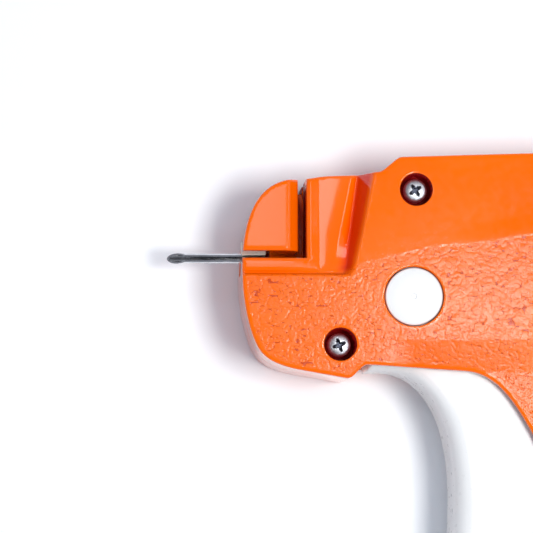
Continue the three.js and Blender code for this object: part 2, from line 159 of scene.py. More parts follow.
def inside(points, loop, batch=4000):
    """Even-odd test of many points against one loop, a batch at a time to save memory."""
    x, y = points[:, 0][:, None], points[:, 1][:, None]
    x0, y0 = loop.T
    x1, y1 = np.roll(x0, -1), np.roll(y0, -1)
    result = np.zeros(len(points), bool)
    for first in range(0, len(points), batch):
        part = slice(first, first + batch)
        spans = (y0 > y[part]) != (y1 > y[part])
        slope = (x1 - x0) / np.where(y1 == y0, 1e-12, y1 - y0)
        result[part] = np.sum(spans & (x[part] < x0 + slope * (y[part] - y0)), 1) % 2 == 1
    return result


def distance_to(points, loop):
    """Distance from each point to the nearest stretch of a closed loop."""
    count = len(loop)
    along = np.roll(loop, -1, 0) - loop
    # the nearest corner or midpoint says which stretches to measure exactly
    tree = KDTree(2 * count)
    for i, (x, y) in enumerate(np.concatenate([loop, loop + along / 2])):
        tree.insert((x, y, 0), i % count)
    tree.balance()
    nearest = np.array([tree.find((x, y, 0))[1] for x, y in points])
    best = np.full(len(points), np.inf)
    for shift in (-1, 0, 1):
        start, step = loop[(nearest + shift) % count], along[(nearest + shift) % count]
        t = np.sum((points - start) * step, 1) / np.maximum(np.sum(step * step, 1), 1e-12)
        foot = start + step * np.clip(t, 0, 1)[:, None]
        best = np.minimum(best, np.linalg.norm(points - foot, axis=1))
    return best


def smoothstep(a, b, x):
    t = np.clip((x - a) / (b - a), 0, 1)
    return t * t * (3 - 2 * t)


# ---- Solids ---------------------------------------------------------------------------

def round_off(distance, radius):
    """How far a rounded edge lies below its face, at a distance in from the outline."""
    away = np.clip(radius - distance, 0, radius)
    return radius - np.sqrt(np.maximum(radius ** 2 - away ** 2, 0))


def flat_mesh(loop, points=()):
    """Triangles that fill a loop and use every given point inside it."""
    everything = [tuple(p) for p in loop] + [tuple(p) for p in points]
    verts, _, tris, _, _, _ = delaunay_2d_cdt(
        [Vector(p) for p in everything], [], [list(range(len(loop)))], 1, 1e-6)
    return np.array([tuple(v) for v in verts]), [tuple(t) for t in tris]


def face_points(loop, edge, spacing, thinning=None, extra=()):
    """Points of a face: rows that follow its rounded edge, then a staggered grid.

    thinning(grid) gives a whole number n per grid point: only every nth row and column stays.
    """
    normals = inward_normals(loop)
    rows = []
    for turn in (0.31, 0.63, 0.94, 1.25, 1.57):
        distance = edge * (1 - math.cos(turn))
        row = loop + normals * distance
        # a row folds over itself in a tight corner: what comes too near the outline goes
        keep = distance_to(row, loop) > distance * 0.93 - 0.01
        rows.append(row[keep & inside(row, loop)])
    low, high = loop.min(0), loop.max(0)
    xs = np.arange(low[0], high[0], spacing)
    ys = np.arange(low[1], high[1], spacing * 0.87)
    gx, gy = np.meshgrid(xs, ys)
    gx = gx + (np.arange(len(ys)) % 2)[:, None] * spacing / 2
    grid = np.stack([gx.ravel(), gy.ravel()], 1)
    if thinning:
        wanted = thinning(grid)
        column = np.tile(np.arange(len(xs)), len(ys))
        row = np.repeat(np.arange(len(ys)), len(xs))
        grid = grid[(column % wanted == 0) & (row % wanted == 0)]
    grid = grid[inside(grid, loop)]
    grid = grid[distance_to(grid, loop) > edge + spacing * 0.6]
    extra = np.array(extra, float).reshape(-1, 2)
    if len(extra):
        extra = extra[inside(extra, loop)]
        extra = extra[distance_to(extra, loop) > edge + 0.05]
        tree = KDTree(len(extra))
        for i, (x, y) in enumerate(extra):
            tree.insert((x, y, 0), i)
        tree.balance()
        grid = grid[[tree.find((x, y, 0))[2] > spacing * 0.45 for x, y in grid]]
    return np.concatenate([*rows, grid, extra])


def at_height(points, z):
    return np.column_stack([points, np.full(len(points), z)])


def mesh_object(name, verts, faces):
    mesh = bpy.data.meshes.new(name)
    mesh.from_pydata([tuple(v) for v in verts], [], faces)
    mesh.validate()
    obj = bpy.data.objects.new(name, mesh)
    bpy.context.scene.collection.objects.link(obj)
    return obj


def slab(name, loop, top, bottom, points=(), bottom_points=(), sides=()):
    """Closed solid between two height functions over one loop. sides: (height, inset) rings
    from the bottom's rim up to the top's, in order."""
    loop = counter_clockwise(np.asarray(loop, float))
    normals = inward_normals(loop)
    count = len(loop)
    upper, upper_tris = flat_mesh(loop, points)
    lower, lower_tris = flat_mesh(loop, bottom_points)
    verts = [at_height(upper, top(upper)), at_height(lower, bottom(lower))]
    faces = list(upper_tris)
    start = len(upper)
    faces += [(start + a, start + c, start + b) for a, b, c in lower_tris]
    rings = [np.arange(count) + start]
    start += len(lower)
    for height, inset in sides:
        verts.append(at_height(loop + normals * inset, height))
        rings.append(np.arange(count) + start)
        start += count
    rings.append(np.arange(count))
    for low, high in zip(rings, rings[1:]):
        for i in range(count):
            j = (i + 1) % count
            faces.append((int(low[i]), int(low[j]), int(high[j]), int(high[i])))
    return mesh_object(name, np.concatenate(verts) * MM, faces)


def closed_between(name, loop, low, high):
    """Closed solid from one ring of points to another, with both ends filled like the loop."""
    count = len(loop)
    _, tris = flat_mesh(loop)
    faces = [(a + count, b + count, c + count) for a, b, c in tris]
    faces += [(a, c, b) for a, b, c in tris]
    faces += [(i, (i + 1) % count, (i + 1) % count + count, i + count) for i in range(count)]
    return mesh_object(name, np.concatenate([low, high]) * MM, faces)


def prism(name, loop, z0, z1):
    loop = counter_clockwise(np.asarray(loop, float))
    return closed_between(name, loop, at_height(loop, z0), at_height(loop, z1))


def frustum(name, loop, low_scale, z0, z1):
    """Closed solid whose outline shrinks from the loop, at z1, to a smaller one at z0."""
    loop = counter_clockwise(np.asarray(loop, float))
    middle = loop.mean(0)
    return closed_between(name, loop, at_height((loop - middle) * low_scale + middle, z0),
                          at_height(loop, z1))


def box(x0, x1, y0, y1, z0, z1):
    return prism("box", [(x0, y0), (x1, y0), (x1, y1), (x0, y1)], z0, z1)


def cylinder(x, y, r, z0, z1, sides=64):
    return prism("cylinder", arc(x, y, r, 0, 360 - 360 / sides, sides), z0, z1)


def copy_of(node):
    """A CAD node's mesh as a new closed solid."""
    obj = bpy.data.objects.new(node + "_copy", NODES[node].data.copy())
    bpy.context.scene.collection.objects.link(obj)
    weld = obj.modifiers.new("weld", "WELD")
    weld.merge_threshold = 1e-6
    return apply_modifiers(obj)


def apply_modifiers(obj):
    bpy.context.view_layer.update()
    graph = bpy.context.evaluated_depsgraph_get()
    mesh = bpy.data.meshes.new_from_object(obj.evaluated_get(graph))
    obj.modifiers.clear()
    obj.data = mesh
    return obj


def combine(obj, others, operation="DIFFERENCE"):
    for other in others:
        modifier = obj.modifiers.new("combine", "BOOLEAN")
        modifier.operation = operation
        modifier.solver = "MANIFOLD"
        modifier.object = other
    apply_modifiers(obj)
    for other in others:
        bpy.data.objects.remove(other)
    return obj


def smooth(obj, angle=50):
    obj.data.polygons.foreach_set("use_smooth", [True] * len(obj.data.polygons))
    obj.data.set_sharp_from_angle(angle=math.radians(angle))
    return obj


def vertices_mm(obj):
    return np.array([v.co for v in obj.data.vertices]) / MM


def store(obj, name, values):
    """Keeps one number per vertex, which a material reads by its name."""
    field = obj.data.attributes.new(name, "FLOAT", "POINT")
    field.data.foreach_set("value", np.asarray(values, np.float32))


def place(obj, name, body, slot, *nodes):
    """Names a piece and says which body it rides, its slot and the CAD nodes it replaces."""
    obj.name = name
    obj.data.name = name
    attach(obj, body)
    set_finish(obj, slot)
    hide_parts(*nodes)
    return obj


# ---- Grain ----------------------------------------------------------------------------

def grain(points):
    """Depth of the leather grain's creases, from 0 on the flat cells to 1, drawn out along X."""
    depth = np.empty(len(points))
    for i, (x, y) in enumerate(points):
        bend = noise.noise((x * 0.5, y * 0.5, 7.3))
        turn = noise.noise((x * 0.5, y * 0.5, 21.9))
        u, v = x * 0.46 + bend * 0.8, y * 0.72 + turn * 0.8
        wide = noise.noise((u, v, 1.7))
        fine = noise.noise((u * 1.9 + 11.0, v * 1.8, 4.1))
        depth[i] = max(math.exp(-(wide / 0.050) ** 2), 0.7 * math.exp(-(fine / 0.055) ** 2))
    return depth


# ---- Shells ---------------------------------------------------------------------------

# the outline of both shells: nose, chin, trigger's opening, grip, rear and top
HOUSING = counter_clockwise(softened(path(
    (-34.4, 5),
    (-34.4, 0, -33.4, -6.3, -31.3, -10.2), (-29.9, -12.8, -26.8, -14.1, -22, -14.9),
    (-12.9, -16.5), (-9.9, -13.6), (10.3, -14.9),
    (16.5, -15.3, 20, -20.8, 23.5, -27.1), (28.5, -36.2, 32, -50, 33.5, -73),
    (33.8, -77.5, 35, -80.3, 39, -80.7), (62, -83),
    (67.5, -83.5, 70.4, -81, 70.4, -76), (70.6, -58, 68.5, -42, 70, -26),
    (71.2, -14, 80, -6, 84, 2), (87.5, 9, 85, 19.5, 76, 24.5),
    (66, 29.6, 45, 29.7, 19.9, 28.9), (-2.9, 28.1), (-6.5, 25.1), (-17.3, 24.4),
    (-21.5, 23.7), (-23.1, 23.7), (-31.2, 23.6, -34.4, 16.5, -34.4, 5))))


def clipped(loop, keep, corners, spacing=0.5):
    """The part of a loop where keep(point) holds, closed through new corner points."""
    held = keep(loop)
    start = next(i for i in range(len(loop)) if held[i] and not held[i - 1])
    kept = []
    for k in range(len(loop)):
        i = (start + k) % len(loop)
        if not held[i]:
            break
        kept.append(loop[i])
    corners = [np.array(c, float) for c in corners]
    ends = [kept[-1], *corners, kept[0]]
    for a, b in zip(ends, ends[1:]):
        count = max(1, round(np.linalg.norm(b - a) / spacing))
        kept += [a + (b - a) * i / count for i in range(1, count + 1)]
    return np.array(kept[:-1])


SCOOP = [          # y, then strip's end x, z; slope's end x, z; groove's foot x, z; rim x
    (4.3, -19.1, 24.9, -16.8, 24.5, -14.2, 24.4, -12.6),
    (6.5, -19.1, 24.8, -16.0, 24.0, -13.4, 23.5, -11.7),
    (12.7, -19.1, 24.6, -14.7, 23.5, -12.6, 22.4, -10.3),
    (24.9, -19.1, 24.6, -12.1, 22.6, -10.9, 21.9, -7.8),
    (40.0, -19.1, 24.6, -8.9, 21.6, -8.8, 21.3, -4.7),
]


def scoop_row(y):
    """The scoop's x and z values at one height of the head."""
    ys = [row[0] for row in SCOOP]
    return [np.interp(y, ys, [row[k] for row in SCOOP]) for k in range(1, 8)]


def raw_face(x, y):
    """Height of the left face without rounding: the head's recess and scoop, then the body."""
    strip_x, strip_z, slope_x, slope_z, foot_x, foot_z, rim_x = scoop_row(y)
    z = NOSE_TOP + (strip_z - NOSE_TOP) * np.clip((x + 24) / (strip_x + 24), 0, 1)
    t = np.clip((x - strip_x) / (slope_x - strip_x), 0, 1)
    z = z + (slope_z - strip_z) * t * (1.25 - 0.25 * t)
    z = z + (foot_z - slope_z) * np.clip((x - slope_x) / (foot_x - slope_x), 0, 1)
    z = z + (WIDTH - foot_z) * np.clip((x - foot_x) / (rim_x - foot_x), 0, 1)
    ledge = np.clip((y - LEDGE_Y) / 0.45, 0, 1)
    z = WIDTH + (np.minimum(z, WIDTH) - WIDTH) * ledge
    # a fine groove along the foot of the ledge, which fades out towards the scoop
    groove = np.clip(1 - np.abs(y - GROOVE_Y) / 0.35, 0, 1) * np.clip((-14 - x) / 14, 0, 1)
    return z - GROOVE_DEPTH * groove


def scoop_wall(points):
    """Where shade is painted on the steep wall behind the scoop: 1 there, fading out at both
    sides.
    """
    wall_shade = []
    for x, y in points:
        _, _, slope_x, _, foot_x, _, rim_x = scoop_row(y)
        wall_shade.append(smoothstep(slope_x + 0.4, foot_x + 0.4, x)
                    * (1 - smoothstep(rim_x - 1.0, rim_x, x)) * smoothstep(4.2, 6, y))
    return np.array(wall_shade)


def panel_edge(x):
    """Y of the border between the smooth upper panel and the grained lower one."""
    return np.interp(x, [-36, -19, -13, 3, 15, 24, 50, 90],
                     [4.6, 4.9, 6.2, 10.2, 11.3, 12.9, 16.5, 17.5])


def left_face(points):
    """Height of the left face with its creases averaged soft, but with sharp outer edges."""
    x, y = points[:, 0], points[:, 1]
    z = sum(raw_face(x + a, y + b) for a in (-0.16, 0, 0.16) for b in (-0.1, 0, 0.1)) / 9
    # Towards the rear the upper panel drops a little, above a soft crease.
    crease = np.interp(x, [-5, 4, 23.7, 60, 90], [13.0, 14.1, 17.5, 21.5, 22])
    border = panel_edge(x)
    drop = smoothstep(2, 26, x) * smoothstep(0, 1, (y - border) / (crease - border))
    # Below a soft line the panel bends down towards the trigger's opening.
    bend = np.clip((-8.6 - y) / 6.5, 0, 1) * smoothstep(-6, 0, x) * smoothstep(-34, -26, y)
    return z - UPPER_DROP * drop - LOWER_BEND * bend


def rim_radius(height):
    """Rounding of the outer edge, where the face has this height."""
    return HEAD_EDGE + (EDGE - HEAD_EDGE) * smoothstep(NOSE_TOP, WIDTH - 0.3, height)


def near_wells(points):
    """Distance to the wall of the nearest well or of the disc's hole, negative inside it."""
    x, y = points[:, 0], points[:, 1]
    return np.min([np.hypot(x - cx, y - cy) - WELL_R for cx, cy, _ in WELLS.values()]
                  + [np.hypot(x, y) - DISC_HOLE], axis=0)


def grained(points, distance):
    """1 in the grained panel, fading to 0 at its borders."""
    x, y = points[:, 0], points[:, 1]
    return (smoothstep(0.0, 0.5, panel_edge(x) - y) * smoothstep(0.5, 1.3, distance)
            * smoothstep(0.3, 0.8, near_wells(points)))


def left_top(loop):
    """The finished left face: rounded edges and rims, and the grain's creases."""
    def height(points):
        distance = distance_to(points, loop)
        z = left_face(points)
        z = z - round_off(distance, rim_radius(z))
        z = z - round_off(np.maximum(near_wells(points), 0), WELL_RIM)
        return z - LEFT_GRAIN * grain(points) * grained(points, distance) ** 3
    return height


def feature_points():
    """Rows of points along the creases of the left face, the wells and the disc's hole."""
    found = []
    for y in np.arange(4.0, 25, 0.45):
        strip_x, _, slope_x, _, foot_x, _, rim_x = scoop_row(y)
        for x in (strip_x, slope_x, foot_x, rim_x):
            found += [(x + d, y) for d in (-0.35, -0.17, 0, 0.17, 0.35)]
        found += [(foot_x + (rim_x - foot_x) * t, y) for t in (0.3, 0.5, 0.7)]
    for x in np.arange(-36, -11, 0.45):
        found += [(x, y) for y in (4.0, 4.2, 4.4, 4.6, 4.75, 4.9, 5.05, 5.2, 5.4)]
    circles = [(x, y, WELL_R) for x, y, _ in WELLS.values()] + [(0, 0, DISC_HOLE)]
    for x, y, r in circles:
        for offset in (-0.5, 0.03, 0.08, 0.16, 0.3):
            found += arc(x, y, r + offset, 0, 356, 72)
    return found


def left_thinning(grid):
    """Finest in the grain of the head, coarsest on the smooth panel."""
    x, y = grid[:, 0], grid[:, 1]
    return np.where(y > panel_edge(x) + 0.6, 3, np.where((y < -48) | (x > 30), 2, 1))


def inner_void(node, z0, z1, head_z1):
    """Everything that is hollow inside a CAD shell, up to just inside its outer wall."""
    inset = HOUSING + inward_normals(HOUSING) * 0.9
    inset = inset[distance_to(inset, HOUSING) > 0.85]
    whole = prism("void", inset, z0, z1)
    if head_z1 < z1:
        combine(whole, [box(-60, HEAD_REAR, -100, 50, head_z1, 40)])
    return combine(whole, [copy_of(node)])


def doorway():
    """The opening in both shells that the trigger swings in."""
    return prism("doorway", [(-9.5, -8), (-9.5, -24), (5, -24), (20, -40), (25, -70.5),
                             (38, -70.5), (36, -50), (28, -30), (20, -16), (10, -8)],
                 WALL, WIDTH - WALL)


def head_openings():
    """The clip channel, the seat of the needle's base and the notch at the top of the slit."""
    return [box(-28, -16.6, 7.3, 40, 9.2, 14.2),
            box(-40, -28, 4.9, 12.1, 9.5, 16.5),
            box(SLIT[0] - 0.02, SLIT[1] + 0.02, 22.2, 40, -1, 30)]


def left_shell():
    """Hollow half with the whole left face behind the slit, the disc's hole and the wells."""
    gap_y = RUNWAY[0]
    loop = clipped(HOUSING, lambda p: (p[:, 0] > SLIT[1]) | (p[:, 1] < gap_y),
                   [(SLIT[1], 23.7), (SLIT[1], gap_y), (-34.35, gap_y)])
    loop = counter_clockwise(loop)
    points = face_points(loop, EDGE, 0.22, left_thinning, feature_points())
    bottom = PARTING + SEAM
    obj = slab("left", loop, left_top(loop), lambda p: np.full(len(p), bottom), points,
               sides=[(bottom + 0.15, 0), (bottom + 4, 0), (bottom + 8, 0)])
    cutters = [inner_void("left_shell", 12, WIDTH - WALL, 19), doorway(), *head_openings(),
               cylinder(0, 0, DISC_HOLE, 18, 30, 96)]
    for x, y, top in WELLS.values():
        # each well ends on the boss that its screw clamps
        cutters.append(combine(cylinder(x, y, WELL_R, top - 3.4, 30, 72),
                               [cylinder(x, y, 2.45, 10, top - 2.0, 48)]))
    return combine(obj, cutters)


def right_thinning(grid):
    """Finer in the grained panel than on the smooth one."""
    return np.where(grid[:, 1] < panel_edge(grid[:, 0]) + 0.6, 1, 2)


def nose_block():
    """The part of the right shell in front of the slit, which reaches up to the left face."""
    loop = clipped(HOUSING, lambda p: (p[:, 0] < SLIT[0]) & (p[:, 1] > RUNWAY[1]),
                   [(-34.2, RUNWAY[1]), (SLIT[0], RUNWAY[1]), (SLIT[0], 23.6)])
    loop = counter_clockwise(loop)
    rows = [(x, y) for x in (-25.2, -24.95, -24.7, -24.3, -23.7)
            for y in np.arange(9.6, 23.4, 0.5)]

    def height(points):
        # a bevel, softened at its top, leads down into the slit
        x = points[:, 0]
        bevel = np.clip((x + 24.9) / 1.8, 0, 1), np.clip((x + 0.15 + 24.9) / 1.8, 0, 1)
        z = sum(NOSE_TOP - 1.9 * b for b in bevel) / 2
        return z - round_off(distance_to(points, loop), EDGE)

    points = face_points(loop, EDGE, 0.6, extra=rows)
    return slab("nose", loop, height, lambda p: np.full(len(p), 6.0), points)


def right_shell():
    """Hollow half with the grained right face, the nose block and the needle lock's hole."""
    top = PARTING - SEAM

    def bottom(points):
        distance = distance_to(points, HOUSING)
        bare = (smoothstep(0.0, 0.5, panel_edge(points[:, 0]) - points[:, 1])
                * smoothstep(0.9, 1.7, distance))
        return round_off(distance, EDGE) + RIGHT_GRAIN * grain(points + RIGHT_SHIFT) * bare

    points = face_points(HOUSING, EDGE, 0.5, right_thinning)
    obj = slab("right", HOUSING, lambda p: np.full(len(p), top), bottom, (), points,
               sides=[(5, 0), (9, 0), (top - 0.15, 0)])
    combine(obj, [nose_block()], "UNION")
    cutters = [inner_void("right_shell", WALL, top + 0.5, top + 0.5), doorway(), *head_openings(),
               cylinder(*centre("needle_lock").xy, 3.3, -1, 9)]
    return combine(obj, cutters)


def mark_surface(obj, face_z, shift):
    """Stores where the grain and its creases are, and where shade is painted: on the creases, on
    the scoop's wall, in the wells and on the slit's walls.
    """
    co = vertices_mm(obj)
    x, y, z = co.T
    on_face = np.abs(z - face_z) < 1.3
    flat = co[on_face][:, :2]
    coverage, crease, wall_shade = np.zeros(len(co)), np.zeros(len(co)), np.zeros(len(co))
    coverage[on_face] = grained(flat, distance_to(flat, HOUSING))
    crease[on_face] = grain(flat + shift) * coverage[on_face]
    head = (z > 20) & (x < 0)
    wall_shade[head] = scoop_wall(co[head][:, :2])
    in_screw_well = np.max([np.hypot(x - cx, y - cy) < WELL_R + 0.01
                            for cx, cy, _ in WELLS.values()], axis=0)
    # the slit's walls get the same painted shade as the wells, up to just below the faces on
    # either side
    in_slit = (y > RUNWAY[0]) & ((np.abs(x - SLIT[1]) < 0.03) & (z < 24)
                                 | (np.abs(x - SLIT[0]) < 0.03) & (z < 22.3))
    # the crease, scoop wall and well values mark where the material paints shade
    store(obj, "crease", crease)
    store(obj, "grained", coverage)
    store(obj, "scoop_wall", wall_shade)
    store(obj, "well", in_screw_well & (z > PARTING) | in_slit)


left = left_shell()
right = right_shell()
for shell, name, face_z, shift in ((left, "left_shell", WIDTH, 0),
                                   (right, "right_shell", 0, RIGHT_SHIFT)):
    mark_surface(shell, face_z, shift)
    smooth(shell)
    place(shell, name + "_moulded", "housing", "orange_plastic", name)


# ---- Trigger and pivot cap --------------------------------------------------------------

TRIGGER_LOW, TRIGGER_HIGH = (v.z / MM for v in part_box("trigger"))
TRIGGER_WALL = 2.5
# from the eye at the pivot down the front, round the foot and up again inside the housing
TRIGGER = counter_clockwise(softened(path(
    (8, 0), (8, 4.4, 4.4, 8, 0, 8), (-4.4, 8, -8, 4.4, -8, 0), (-9.1, -10), (-9.1, -14.9),
    (5, -12.7, 9, -27, 8.6, -42), (8.4, -54, 7, -64, 4.7, -72),
    (3.9, -74.8, 5.2, -76.4, 7.5, -76.2), (11, -75.9, 14.5, -75, 18, -73),
    (35.5, -62.8), (37.8, -62.2, 38.8, -61, 38.8, -60), (37, -52), (36, -42), (30, -28), (8, 0))))


def trigger():
    """Hollow moulding, open at the back, with well-rounded front edges."""
    loop = TRIGGER + inward_normals(TRIGGER) * 0.04

    def edge(points):
        # 1 mm all round, and 3.2 mm along the front, where the fingers pull
        x, y = points[:, 0], points[:, 1]
        front = 1 - smoothstep(0, 9, x - np.interp(y, [-76, -72, -42, -25, -15], [6, 5, 9, 5, -4]))
        return 1.0 + 2.2 * front * smoothstep(-77, -70, y)

    def fall(points):
        return round_off(distance_to(points, loop), edge(points))

    points = face_points(loop, 3.2, 1.4)
    middle = (TRIGGER_LOW + TRIGGER_HIGH) / 2
    obj = slab("trigger", loop, lambda p: TRIGGER_HIGH - fall(p), lambda p: TRIGGER_LOW + fall(p),
               points, points, sides=[(middle - 3, 0), (middle, 0), (middle + 3, 0)])
    inner = TRIGGER + inward_normals(TRIGGER) * 1.0
    inner = inner[distance_to(inner, TRIGGER) > 0.95]
    low, high = TRIGGER_LOW + TRIGGER_WALL, TRIGGER_HIGH - TRIGGER_WALL
    void = prism("void", inner, low, high)
    combine(void, [prism("back", [(12, -66), (60, -66), (60, 20), (-20, 20), (-20, -12),
                                  (0, -12.2), (11.4, -25), (13, -42)], low, high)], "UNION")
    combine(void, [copy_of("trigger")])
    arc_room = combine(box(28, 50, -58, -30, 2, 24), [copy_of("trigger")])
    return combine(obj, [void, arc_room, cylinder(0, 0, 3.3, 0, 30)])


def turned(name, profile, x, y, sides=64):
    """Closed solid of revolution about a vertical axis; profile is r, z from the foot up."""
    verts, faces = [], []
    for r, z in profile:
        if r < 1e-6:
            verts.append((x, y, z))
        else:
            verts += [(px, py, z) for px, py in arc(x, y, r, 0, 360 - 360 / sides, sides)]
    starts, at = [], 0
    for r, _ in profile:
        starts.append(at)
        at += 1 if r < 1e-6 else sides
    for k in range(len(profile) - 1):
        a, b = starts[k], starts[k + 1]
        lower_point, upper_point = profile[k][0] < 1e-6, profile[k + 1][0] < 1e-6
        for i in range(sides):
            j = (i + 1) % sides
            if lower_point:
                faces.append((a, b + j, b + i))
            elif upper_point:
                faces.append((a + i, a + j, b))
            else:
                faces.append((a + i, a + j, b + j, b + i))
    return mesh_object(name, np.array(verts) * MM, faces)


def rounded_rim(r, z, radius, steps=6):
    """Profile points of a rounded top edge, from the side up to the face."""
    return [(r - radius + radius * math.cos(a), z - radius + radius * math.sin(a))
            for a in np.linspace(0, math.pi / 2, steps)]


def pivot_cap():
    """The pivot pin with its white disc, which has a tiny moulding dimple in the middle."""
    low, high = (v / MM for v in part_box("trigger_pin"))
    r = (high.x - low.x) / 2
    profile = [(0, low.z), (2.7, low.z), (3, low.z + 0.3), (3, 22.8), (r - 0.2, 22.8), (r, 23.0),
               *rounded_rim(r, high.z - 0.06, 0.35), (3.4, high.z - 0.01), (1.2, high.z),
               (0.55, high.z), (0.45, high.z - 0.12), (0, high.z - 0.14)]
    return turned("pivot", profile, 0, 0, 96)


place(smooth(trigger(), 75), "trigger_moulded", "trigger", "white_plastic", "trigger")
place(smooth(pivot_cap(), 40), "pivot_cap", "housing", "white_plastic", "trigger_pin")


# ---- Screws -----------------------------------------------------------------------------

def screw(name, turn):
    """Pan head with a turned cross recess over a threaded shank."""
    x, y, top = WELLS[name]
    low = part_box(name)[0].z / MM
    seat = top - 1.7
    r, core, crest, pitch = 2.38, 0.98, 1.2, 0.8
    thread = []
    z = low + 2.2
    while z < low + 11:
        thread += [(core, z), (crest, z + 0.35), (crest, z + 0.45)]
        z += pitch
    profile = [(0, low), (0.55, low + 0.6), (core, low + 2), *thread, (1.15, low + 11.6),
               (1.15, seat), (r - 0.05, seat), (r, seat + 0.08), (r, seat + 0.62),
               (r - 0.03, seat + 1.0), (r - 0.12, seat + 1.3), (r - 0.3, seat + 1.5),
               (r - 0.6, seat + 1.61), (0.9, seat + 1.67), (0, top)]
    obj = turned(name, profile, x, y, 64)
    petals = []
    for a in np.linspace(0, 2 * math.pi, 97)[:-1]:
        reach = 0.72 + abs(math.cos(2 * (a - turn))) ** 2.2
        petals.append((x + reach * math.cos(a), y + reach * math.sin(a)))
    combine(obj, [frustum("recess", petals, 0.40, top - 1.2, top + 0.3)])
    co = vertices_mm(obj)
    off = np.hypot(co[:, 0] - x, co[:, 1] - y)
    # marks the cross recess, where the material paints shade
    store(obj, "recess", (off < 1.5) & (co[:, 2] > seat) & (co[:, 2] < top - 0.1))
    return obj


for name, turn in zip(WELLS, (0.60, 0.35, 1.1, 0.2, 0.9)):
    place(smooth(screw(name, turn), 35), name + "_detailed", "housing", "zinc_screw", name)


# ---- Needle and spring --------------------------------------------------------------------

ROD_Y = centre("needle").y


def on_rod(obj, *rows):
    """Turns a solid by the rows of a rotation, then moves it to the needle's line."""
    line = Matrix.Translation((0, ROD_Y * MM, PARTING * MM))
    obj.data.transform(line @ Matrix(rows).to_4x4())


def needle():
    """Thin tube with a slit along its left side and a long ground bevel at its tip."""
    low, high = (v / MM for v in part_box("needle"))
    r, bore, half = 1.05, 0.74, 0.33
    start = math.degrees(math.asin(half / r))
    section = arc(0, 0, r, start, 360 - start, 45)
    start = math.degrees(math.asin(half / bore))
    section += arc(0, 0, bore, 360 - start, start, 33)
    tube = prism("needle", section, low.x, high.x)
    # the prism stands along Z with its slit towards +X: lay it along X with the slit up
    on_rod(tube, (0, 0, 1), (0, -1, 0), (1, 0, 0))
    bevel = prism("bevel", [(low.x - 1, -r - 0.05), (low.x, -r - 0.05), (low.x + 4.4, r + 0.05),
                            (low.x + 4.4, 3), (low.x - 1, 3)], -5, 5)
    on_rod(bevel, (1, 0, 0), (0, 0, -1), (0, 1, 0))
    return combine(tube, [bevel])


def return_spring():
    """Compression spring, wound along X around the ejector rod."""
    low, high = (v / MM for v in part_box("return_spring"))
    wire, turns, sides, per_turn = 0.45, 15, 10, 32
    r = (high.y - low.y) / 2 - wire
    start, end = low.x + wire, high.x - wire
    verts, faces = [], []
    steps = turns * per_turn
    for k in range(steps + 1):
        t = k / steps
        # closer coils at both ends, open between them
        eased = t - 0.030 * math.sin(2 * math.pi * t)
        a = 2 * math.pi * turns * t
        ring_centre = np.array([start + (end - start) * eased, r * math.cos(a), r * math.sin(a)])
        outward = np.array([0, math.cos(a), math.sin(a)])
        for i in range(sides):
            b = 2 * math.pi * i / sides
            p = ring_centre + wire * (math.cos(b) * outward + math.sin(b) * np.array([1.0, 0, 0]))
            verts.append((p[0], ROD_Y + p[1], PARTING + p[2]))
    for k in range(steps):
        for i in range(sides):
            j = (i + 1) % sides
            a, b = k * sides, (k + 1) * sides
            faces.append((a + i, b + i, b + j, a + j))
    faces.append(tuple(range(sides)))
    faces.append(tuple(steps * sides + i for i in reversed(range(sides))))
    return mesh_object("spring", np.array(verts) * MM, faces)


place(smooth(needle(), 40), "needle_tube", "housing", "needle_steel", "needle")
spring = place(smooth(return_spring(), 60), "return_spring_wound", "housing", "steel",
               "return_spring")


# ---- Materials ------------------------------------------------------------------------

